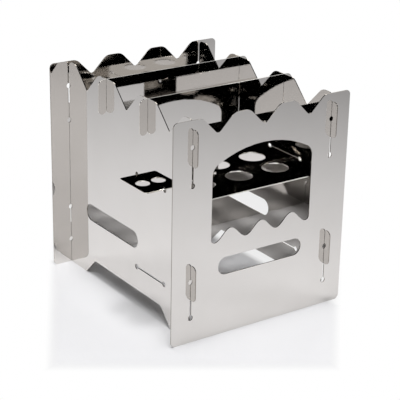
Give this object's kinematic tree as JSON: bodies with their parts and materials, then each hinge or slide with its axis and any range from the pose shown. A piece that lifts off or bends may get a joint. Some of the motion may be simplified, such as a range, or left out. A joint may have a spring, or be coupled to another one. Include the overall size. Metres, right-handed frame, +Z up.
{
  "type": "hobo stove",
  "caption": "Flat-pack square wood-burning stove of slotted stainless sheets, with an arched fuel door, round-ended vents, a perforated fire tray, notched top edges and slotted-in pot supports.",
  "frame": {"origin": "on the ground in the middle of the stove's base", "axes": "+Z up, -Y towards the fuel door in the front panel, +Y along the side panels towards the rear panel, +X to the right when the door is faced from outside"},
  "size_m": [0.1676, 0.1986, 0.182],
  "materials": {
    "stainless_sheet": "bright cold-rolled, near-mirror satin"
  },
  "bodies": {
    "rear_wall": {"rear_panel": "stainless_sheet"},
    "side_walls": {"left_side_panel": "stainless_sheet", "right_side_panel": "stainless_sheet", "fire_tray": "stainless_sheet"},
    "front_wall": {"front_panel": "stainless_sheet"},
    "front_support": {"front_pot_support": "stainless_sheet"},
    "rear_support": {"rear_pot_support": "stainless_sheet"}
  },
  "joints": [
    {"name": "side_walls_lift", "type": "slide", "parent": "rear_wall", "child": "side_walls", "axis": [0, 0, 1], "range_m": [0, 0.0152]},
    {"name": "front_panel_lift", "type": "slide", "parent": "side_walls", "child": "front_wall", "axis": [0, 0, 1], "range_m": [0, 0.0152]},
    {"name": "front_support_lift", "type": "slide", "parent": "side_walls", "child": "front_support", "axis": [0, 0, 1], "range_m": [0, 0.035]},
    {"name": "rear_support_lift", "type": "slide", "parent": "side_walls", "child": "rear_support", "axis": [0, 0, 1], "range_m": [0, 0.035]}
  ]
}
